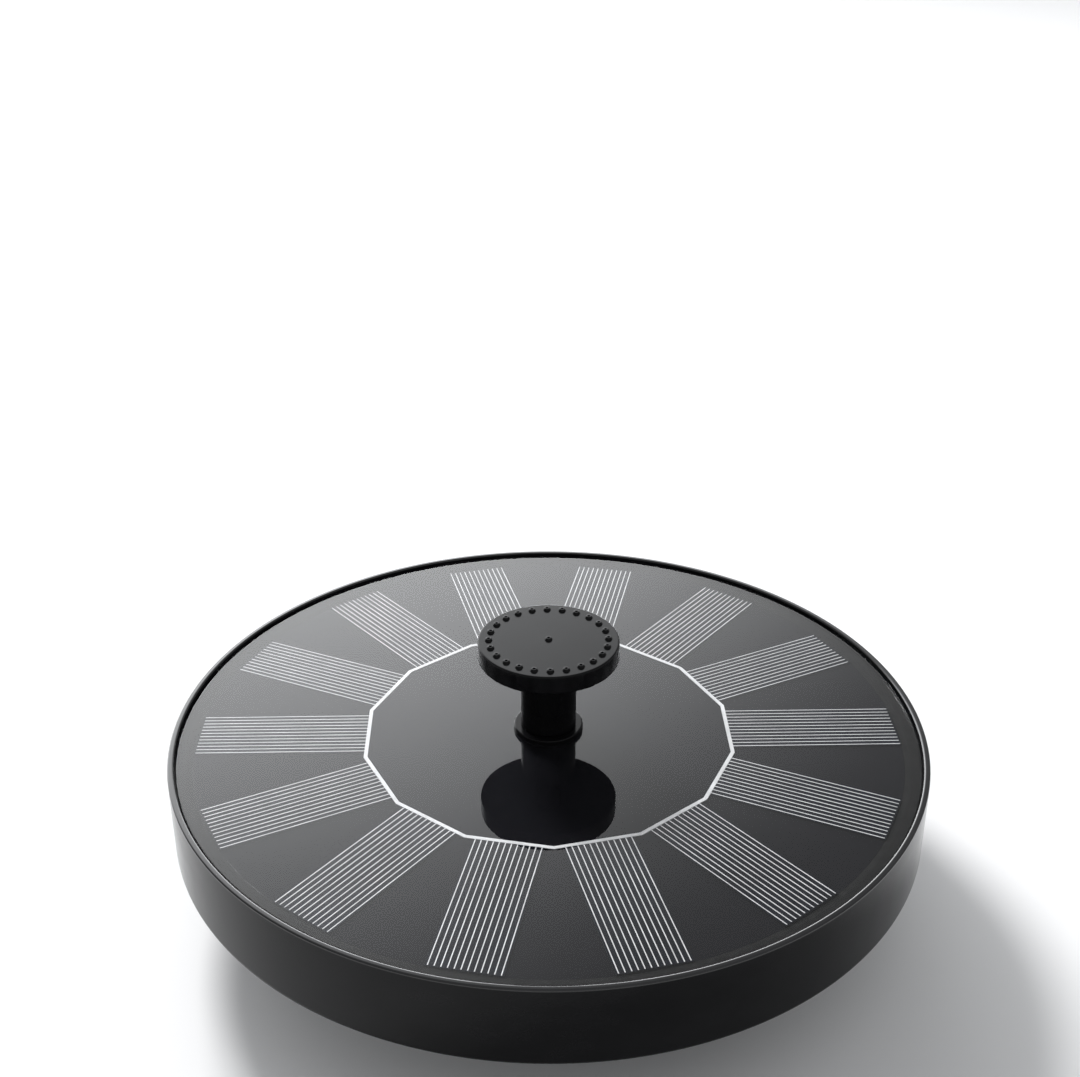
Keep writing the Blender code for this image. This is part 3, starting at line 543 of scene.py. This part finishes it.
def add_piece(name, mesh, body, material, stands_for=(), sharp=35):
    """Shows a mesh as a piece that rides on a CAD body."""
    piece = bpy.data.objects.new(name, mesh)
    bpy.context.scene.collection.objects.link(piece)
    mesh.materials.clear()
    mesh.materials.append(material)
    mesh.shade_smooth()
    mesh.set_sharp_from_angle(angle=math.radians(sharp))
    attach(piece, body)
    if stands_for:
        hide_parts(*stands_for)
    return piece


# Pieces

def make_float(material):
    """The rim, the lip, the ledge under the glass, the dry space and the pump bay with its bosses."""
    profile = [
        (FLOAT_RADIUS, RIM_HEIGHT, LIP_OUTER_ROUNDING),
        (FLOAT_RADIUS, FLOAT_BOTTOM, FLOAT_ROUNDING),
        (BAY_RADIUS, FLOAT_BOTTOM, 0.3 * MM),
        (BAY_RADIUS, BAY_ROOF, FLOAT_ROUNDING),
        (NECK_RADIUS, BAY_ROOF),
        (NECK_RADIUS, BAY_ROOF_TOP),
        (BAY_RADIUS + FLOAT_WALL, BAY_ROOF_TOP, FLOAT_ROUNDING),
        (BAY_RADIUS + FLOAT_WALL, FLOAT_BOTTOM + FLOAT_WALL, FLOAT_ROUNDING),
        (FLOAT_RADIUS - FLOAT_WALL, FLOAT_BOTTOM + FLOAT_WALL, FLOAT_ROUNDING),
        (FLOAT_RADIUS - FLOAT_WALL, LEDGE_TOP - LEDGE_ROOT),
        (LEDGE_RADIUS, LEDGE_TOP - LEDGE_EDGE),
        (LEDGE_RADIUS, LEDGE_TOP),
        (FLOAT_RADIUS - LIP_WIDTH, LEDGE_TOP),
        (FLOAT_RADIUS - LIP_WIDTH, RIM_HEIGHT, LIP_INNER_ROUNDING),
    ]
    shell = turned("float_body", profile, WIDE_STEPS)
    boss = cylinder_mesh(BOSS_RADIUS, PLATE_TOP + 0.3 * MM, BAY_ROOF + 0.6 * MM, 40)
    pilot = cylinder_mesh(PILOT_RADIUS, PLATE_TOP - MM, PILOT_TOP, 24)
    grommet_hole = cylinder_mesh(GROMMET_HOLE_RADIUS, BAY_ROOF - MM, BAY_ROOF_TOP + MM, 40)
    grommet_hole.transform(Matrix.Translation(GROMMET_PLACE))
    places = around(BOSS_CIRCLE, BOSS_ANGLES)
    steps = [
        ("UNION", copies(boss, places)),
        ("DIFFERENCE", copies(pilot, places)),
        ("DIFFERENCE", grommet_hole),
    ]
    add_piece("float_body", combined(shell, steps), PUMP, material, ["float_shell"])


def make_glass(material):
    """The cover glass, with the clear resin under it that bonds it to the cells and the board."""
    bottom = BOARD_TOP - RESIN_CONTACT
    profile = [
        (GLASS_RADIUS, GLASS_TOP, 0.35 * MM),
        (GLASS_RADIUS, bottom),
        (NECK_RADIUS, bottom),
        (NECK_RADIUS, GLASS_TOP, 0.25 * MM),
    ]
    mesh = turned("cover_glass", profile, WIDE_STEPS)
    add_piece("cover_glass", mesh, PUMP, material, ["glass_cover"])


def make_bead(material):
    """The sealant between the ledge and the glass. It is squeezed out to a slope that meets the board."""
    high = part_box("glass_seal")[1]
    profile = [
        (high.x, high.z),
        (high.x, LEDGE_TOP - RESIN_CONTACT),
        (BEAD_START, LEDGE_TOP - RESIN_CONTACT),
        (BEAD_START + BEAD_SLOPE, high.z, 0.3 * MM),
    ]
    mesh = turned("sealant_bead", profile, WIDE_STEPS)
    add_piece("sealant_bead", mesh, PUMP, material, ["glass_seal"])


def make_fingers(material):
    """The fine silver lines that are printed along each cell."""
    shape = bmesh.new()
    pitch = FINGER_SPAN / (FINGER_COUNT - 1)
    stretch = Matrix.Diagonal((FINGER_END - FINGER_START, FINGER_WIDTH, FINGER_HEIGHT, 1))
    for turn in even_angles(CELL_COUNT, math.pi / CELL_COUNT - math.pi / 2):
        for index in range(FINGER_COUNT):
            across = -FINGER_SPAN / 2 + index * pitch
            middle = Vector(((FINGER_START + FINGER_END) / 2, across, CELL_TOP + FINGER_HEIGHT / 2))
            place = Matrix.Rotation(turn, 4, "Z") @ Matrix.Translation(middle) @ stretch
            bmesh.ops.create_cube(shape, size=1.0, matrix=place)
    mesh = bpy.data.meshes.new("cell_fingers")
    shape.to_mesh(mesh)
    shape.free()
    add_piece("cell_fingers", mesh, PUMP, material)


def make_spray_head(material):
    """The hollow cap with its plug, and a jet through each nub of the ring and one in the middle."""
    plug_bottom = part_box("spray_cap")[0].z
    profile = [
        (0, CAP_TOP),
        (CAP_RADIUS, CAP_TOP, CAP_ROUNDING),
        (CAP_RADIUS, CAP_BOTTOM, CAP_ROUNDING),
        (PLUG_RADIUS, CAP_BOTTOM),
        (PLUG_RADIUS, plug_bottom, 0.3 * MM),
        (NOZZLE_BORE, plug_bottom),
        (NOZZLE_BORE, CAP_BOTTOM + CAP_WALL),
        (CAP_RADIUS - CAP_RIM_WALL, CAP_BOTTOM + CAP_WALL),
        (CAP_RADIUS - CAP_RIM_WALL, CAP_TOP - CAP_WALL),
        (0, CAP_TOP - CAP_WALL),
    ]
    nub_profile = [
        (0, NUB_HEIGHT),
        (NUB_TOP_RADIUS, NUB_HEIGHT, 0.12 * MM),
        (NUB_FOOT_RADIUS, 0.0),
        (NUB_ROOT_RADIUS, -NUB_ROOT),
        (0, -NUB_ROOT),
    ]
    nub = turned("nub", nub_profile, 20, 3)
    hole = cylinder_mesh(JET_RADIUS, -JET_DEPTH, JET_DEPTH, 14)
    places = around(JET_CIRCLE, even_angles(JET_COUNT), CAP_TOP)
    places.append(Matrix.Translation((0, 0, CAP_TOP)))
    steps = [("UNION", copies(nub, places)), ("DIFFERENCE", copies(hole, places))]
    mesh = combined(turned("spray_head", profile, CAP_STEPS), steps)
    add_piece("spray_head", mesh, CAP, material, ["spray_cap"])


def make_riser(material):
    """The nozzle's tube, with its sealing ring's groove at the bottom and the cap's seat at the top."""
    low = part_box("nozzle_tube")[0].z
    shoulder = FLANGE_TOP + 0.2 * MM
    profile = [
        (TUBE_RADIUS, TUBE_TOP, 0.2 * MM),
        (TUBE_RADIUS, shoulder, 0.2 * MM),
        (SPIGOT_RADIUS, shoulder),
        (SPIGOT_RADIUS, GROOVE_TOP),
        (GROOVE_RADIUS, GROOVE_TOP),
        (GROOVE_RADIUS, GROOVE_BOTTOM),
        (SPIGOT_RADIUS, GROOVE_BOTTOM),
        (SPIGOT_RADIUS, low, 0.4 * MM),
        (NOZZLE_BORE, low),
        (NOZZLE_BORE, PLUG_SEAT),
        (PLUG_BORE, PLUG_SEAT_TOP),
        (PLUG_BORE, TUBE_TOP),
    ]
    mesh = turned("riser_tube", profile, TUBE_STEPS)
    add_piece("riser_tube", mesh, NOZZLE, material, ["nozzle_tube"])


def make_socket(material):
    """The flanged socket in the panel. The tube stops on its inner step."""
    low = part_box("nozzle_socket")[0].z
    flange_bottom = GLASS_TOP + 0.1 * MM
    profile = [
        (FLANGE_RADIUS, FLANGE_TOP, 0.35 * MM),
        (FLANGE_RADIUS, flange_bottom),
        (SOCKET_RADIUS, flange_bottom),
        (SOCKET_RADIUS, low),
        (DUCT_BORE, low),
        (DUCT_BORE, SOCKET_FLOOR_BOTTOM),
        (SOCKET_FLOOR_BORE, SOCKET_FLOOR_BOTTOM),
        (SOCKET_FLOOR_BORE, SOCKET_FLOOR_TOP),
        (SOCKET_BORE, SOCKET_FLOOR_TOP),
        (SOCKET_BORE, FLANGE_TOP, 0.25 * MM),
    ]
    mesh = turned("panel_socket", profile, TUBE_STEPS)
    add_piece("panel_socket", mesh, PUMP, material, ["nozzle_socket"])


def slot_tool():
    """A radial slot cutter with round ends."""
    half = SLOT_WIDTH / 2
    inner = STRAINER_RADIUS - STRAINER_WALL - MM
    arc_steps = 8
    shape = bmesh.new()
    outline = []
    for middle, first in ((SLOT_TOP - half, 0.0), (SLOT_BOTTOM + half, math.pi)):
        for step in range(arc_steps + 1):
            angle = first + step / arc_steps * math.pi
            across = half * math.cos(angle)
            height = middle + half * math.sin(angle)
            outline.append(shape.verts.new((inner, across, height)))
    face = shape.faces.new(outline)
    pushed = bmesh.ops.extrude_face_region(shape, geom=[face])
    moved = [item for item in pushed["geom"] if isinstance(item, bmesh.types.BMVert)]
    bmesh.ops.translate(shape, verts=moved, vec=(STRAINER_WALL + 2 * MM, 0, 0))
    bmesh.ops.recalc_face_normals(shape, faces=shape.faces)
    mesh = bpy.data.meshes.new("slot")
    shape.to_mesh(mesh)
    shape.free()
    return mesh


def make_strainer(material):
    """The slotted basket, with the foot that it stands on and the spigot that pushes into the float."""
    inner = STRAINER_RADIUS - STRAINER_WALL
    spigot_outer = BAY_RADIUS - SPIGOT_GAP
    spigot_inner = spigot_outer - SPIGOT_WALL
    shoulder_bottom = SHOULDER_HEIGHT - SHOULDER_THICKNESS
    foot_inner = STRAINER_RADIUS - FOOT_WIDTH
    profile = [
        (0, STRAINER_FLOOR),
        (inner, STRAINER_FLOOR, 0.6 * MM),
        (inner, shoulder_bottom),
        (spigot_inner, shoulder_bottom),
        (spigot_inner, STRAINER_TOP),
        (spigot_outer, STRAINER_TOP, 0.4 * MM),
        (spigot_outer, SHOULDER_HEIGHT),
        (STRAINER_RADIUS, SHOULDER_HEIGHT, 0.4 * MM),
        (STRAINER_RADIUS, 0, 1.2 * MM),
        (foot_inner, 0, 0.2 * MM),
        (foot_inner - FOOT_HEIGHT, FOOT_HEIGHT, 0.2 * MM),
        (0, FOOT_HEIGHT),
    ]
    slots = copies(slot_tool(), around(0, even_angles(SLOT_COUNT, SLOT_START_ANGLE)))
    mesh = combined(turned("strainer_basket", profile, STRAINER_STEPS), [("DIFFERENCE", slots)])
    add_piece("strainer_basket", mesh, STRAINER, material, ["strainer_cover"])


def make_sponge(material):
    """A ring of open-cell foam. Its skin is broken up by the cells that the cutting left open."""
    low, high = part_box("filter_sponge")
    outer = high.x - FOAM_INSET
    inner = outer - FOAM_THICKNESS
    middle = outer - FOAM_THICKNESS / 2
    bottom = low.z + FOAM_END_INSET
    top = high.z - FOAM_END_INSET
    rise = (top - bottom) / FOAM_ROWS
    profile = [(outer, top - step * rise) for step in range(FOAM_ROWS + 1)]
    profile += [(middle, bottom)]
    profile += [(inner, bottom + step * rise) for step in range(FOAM_ROWS + 1)]
    profile += [(middle, top)]
    mesh = turned("foam_sleeve", profile, FOAM_STEPS)
    chance = random.Random(7)
    for vertex in mesh.vertices:
        spoke = Vector((vertex.co.x, vertex.co.y, 0))
        out = spoke.normalized()
        if spoke.length < middle - 0.1 * MM:
            out = -out
        vertex.co += out * chance.uniform(FOAM_DEEPEST_PORE, FOAM_HIGHEST_STRUT) * MM
    foam = add_piece("foam_sleeve", mesh, STRAINER, material, ["filter_sponge"], sharp=80)


def paint_nodes(looks):
    """Gives each CAD node the material of its slot."""
    slots = {row["node"]: row["material_slot"] for row in frame["record"]["subparts"]}
    for name, node in frame["nodes"].items():
        node.data.materials.clear()
        node.data.materials.append(looks[slots[name]])
        for polygon in node.data.polygons:
            polygon.material_index = 0


# Stage

def make_floor():
    """A pale floor that can't be seen from below."""
    mesh = bpy.data.meshes.new("floor")
    shape = bmesh.new()
    bmesh.ops.create_grid(shape, x_segments=1, y_segments=1, size=FLOOR_HALF_WIDTH)
    shape.to_mesh(mesh)
    shape.free()
    floor = bpy.data.objects.new("floor", mesh)
    bpy.context.scene.collection.objects.link(floor)
    floor.location.z = -FLOOR_DROP
    material, tree, shader = start_material("floor_pale")
    shader.inputs["Roughness"].default_value = 0.9
    shader.inputs["Specular IOR Level"].default_value = 0.1
    link_colour(tree, shader, noise(tree, 0.5), (0.84, 0.84, 0.845), (0.86, 0.86, 0.865))
    side = add_node(tree, "ShaderNodeNewGeometry")
    clear = add_node(tree, "ShaderNodeBsdfTransparent")
    mix = add_node(tree, "ShaderNodeMixShader")
    tree.links.new(side.outputs["Backfacing"], mix.inputs["Fac"])
    tree.links.new(shader.outputs["BSDF"], mix.inputs[1])
    tree.links.new(clear.outputs["BSDF"], mix.inputs[2])
    tree.links.new(mix.outputs["Shader"], tree.nodes["Material Output"].inputs["Surface"])
    mesh.materials.append(material)


def direction(azimuth, elevation):
    """The unit vector towards this azimuth from +Y, positive to the right, and this elevation."""
    across, up = math.radians(azimuth), math.radians(elevation)
    return Vector((math.sin(across) * math.cos(up), math.cos(across) * math.cos(up), math.sin(up)))


def make_world():
    """A dim even room with broad soft lights that fade out towards their edges."""
    world = bpy.data.worlds.new("studio")
    bpy.context.scene.world = world
    world.use_nodes = True
    tree = world.node_tree
    background = tree.nodes["Background"]
    place = add_node(tree, "ShaderNodeTexCoord")
    total = None
    for azimuth, elevation, half_width, strength in (BACK_LIGHT, FRONT_LIGHT):
        dot = add_node(tree, "ShaderNodeVectorMath", operation="DOT_PRODUCT")
        dot.inputs[1].default_value = direction(azimuth, elevation)
        tree.links.new(place.outputs["Generated"], dot.inputs[0])
        lobe = add_node(tree, "ShaderNodeMapRange", interpolation_type="SMOOTHERSTEP")
        lobe.inputs["From Min"].default_value = math.cos(math.radians(half_width))
        lobe.inputs["To Max"].default_value = strength
        tree.links.new(dot.outputs["Value"], lobe.inputs["Value"])
        add = add_node(tree, "ShaderNodeMath", operation="ADD")
        add.inputs[1].default_value = ROOM_LIGHT
        if total is not None:
            tree.links.new(total, add.inputs[1])
        tree.links.new(lobe.outputs["Result"], add.inputs[0])
        total = add.outputs["Value"]
    tree.links.new(total, background.inputs["Strength"])
    background.inputs["Color"].default_value = (*ROOM_COLOUR, 1.0)


def make_key():
    """The lamp that casts the shadow. The glass doesn't mirror it."""
    light = bpy.data.lights.new("key", "AREA")
    light.shape = "DISK"
    light.size = KEY_SIZE
    light.energy = KEY_POWER
    lamp = bpy.data.objects.new("key", light)
    bpy.context.scene.collection.objects.link(lamp)
    towards = direction(KEY_AZIMUTH, KEY_ELEVATION)
    lamp.location = towards * KEY_DISTANCE
    lamp.rotation_euler = towards.to_track_quat("Z", "Y").to_euler()
    lamp.visible_glossy = False


def make_camera():
    camera = bpy.data.cameras.new("camera")
    camera.lens = CAMERA_LENS
    camera.sensor_width = CAMERA_SENSOR
    camera.clip_start = 0.01
    camera.clip_end = 20.0
    holder = bpy.data.objects.new("camera", camera)
    bpy.context.scene.collection.objects.link(holder)
    holder.location = CAMERA_PLACE
    holder.rotation_euler = CAMERA_TURN
    bpy.context.scene.camera = holder


def make_looks():
    """One material for each material slot of the record."""
    return {
        "black_plastic": black_plastic("black_plastic_look"),
        "panel_glass": cover_glass("panel_glass_look"),
        "black_rubber": moulded_rubber("black_rubber_look", (0.008, 0.008, 0.008)),
        "laminate_black": speckled("laminate_look", (0.008, 0.008, 0.010), 0.5, 0.03, 9 * MM, 1.15),
        "silver_ribbon": silver_paste("silver_look", (0.92, 0.925, 0.94), 0.5, 0.15),
        "silicon_cell": silicon("silicon_look"),
        "circuit_board": circuit_board("board_look"),
        "capacitor_can": worked_metal("can_look", (0.7, 0.71, 0.73), 0.3, (1, 1, 8)),
        "chip_black": moulded_plastic("chip_look", (0.02, 0.02, 0.02), 0.55, 0.4),
        "red_insulation": moulded_plastic("red_wire_look", (0.45, 0.02, 0.02), 0.4),
        "black_insulation": moulded_plastic("black_wire_look", (0.016, 0.016, 0.017), 0.4),
        "stator_steel": banded_metal("lamination_look", (0.4, 0.4, 0.42), 0.4, 0.5 * MM),
        "copper_winding": banded_metal("winding_look", (0.75, 0.33, 0.13), 0.3, 0.3 * MM),
        "polished_steel": worked_metal("steel_look", (0.66, 0.66, 0.68), 0.22),
        "white_ceramic": speckled("ceramic_look", (0.8, 0.79, 0.76), 0.25, 0.5, 0.2 * MM, 1.06),
        "impeller_plastic": moulded_plastic("impeller_look", (0.72, 0.72, 0.70), 0.4),
        "ferrite_magnet": speckled("ferrite_look", (0.03, 0.03, 0.033), 0.5),
        "filter_foam": filter_foam("foam_look"),
    }


looks = make_looks()
paint_nodes(looks)
make_float(black_plastic("float_look", LIP_POLISH_HEIGHT))
make_glass(looks["panel_glass"])
make_bead(looks["black_rubber"])
make_fingers(looks["silver_ribbon"])
make_spray_head(looks["black_plastic"])
make_riser(looks["black_plastic"])
make_socket(looks["black_plastic"])
make_strainer(looks["black_plastic"])
make_sponge(looks["filter_foam"])
make_floor()
make_world()
make_key()
make_camera()
bpy.context.scene.view_settings.view_transform = "Standard"
